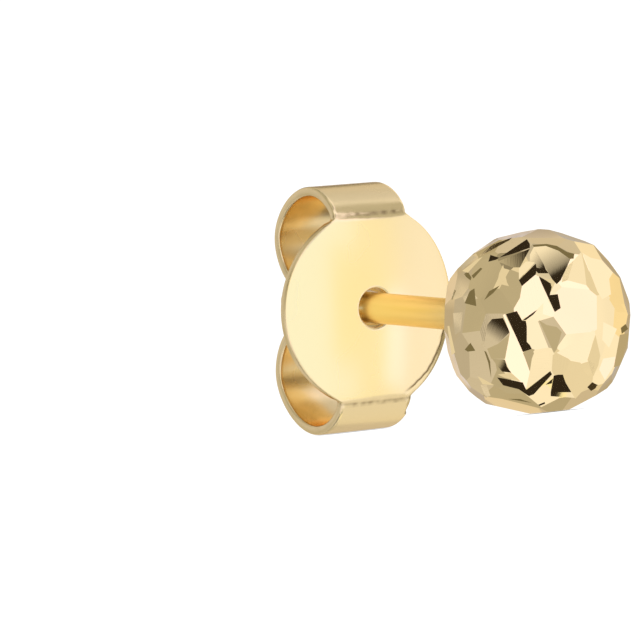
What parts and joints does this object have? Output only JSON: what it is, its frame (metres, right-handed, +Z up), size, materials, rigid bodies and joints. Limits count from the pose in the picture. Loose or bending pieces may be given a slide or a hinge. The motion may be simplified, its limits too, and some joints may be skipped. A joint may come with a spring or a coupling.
{
  "type": "ball stud earring",
  "caption": "Small stud earring: a diamond-cut gold ball on a plain round post, with a butterfly friction back that slides along the post.",
  "frame": {"origin": "on the table under the middle of the earring as it lies by itself", "axes": "+Z up; the ball's front looks along -Y and the post runs towards +Y, rising about 7 degrees; +X across the earring"},
  "size_m": [0.0046, 0.0116, 0.0056],
  "materials": {
    "cut_gold": "polished yellow gold, diamond-cut ball and drawn post",
    "sheet_gold": "polished yellow gold sheet"
  },
  "bodies": {
    "stud": {"ball_and_post": "cut_gold"},
    "back": {"butterfly_back": "sheet_gold"}
  },
  "joints": [
    {"name": "back_slide", "type": "slide", "parent": "stud", "child": "back", "axis": [0, 0.9919, 0.1268], "range_m": [-0.00396, 0.0037]}
  ]
}
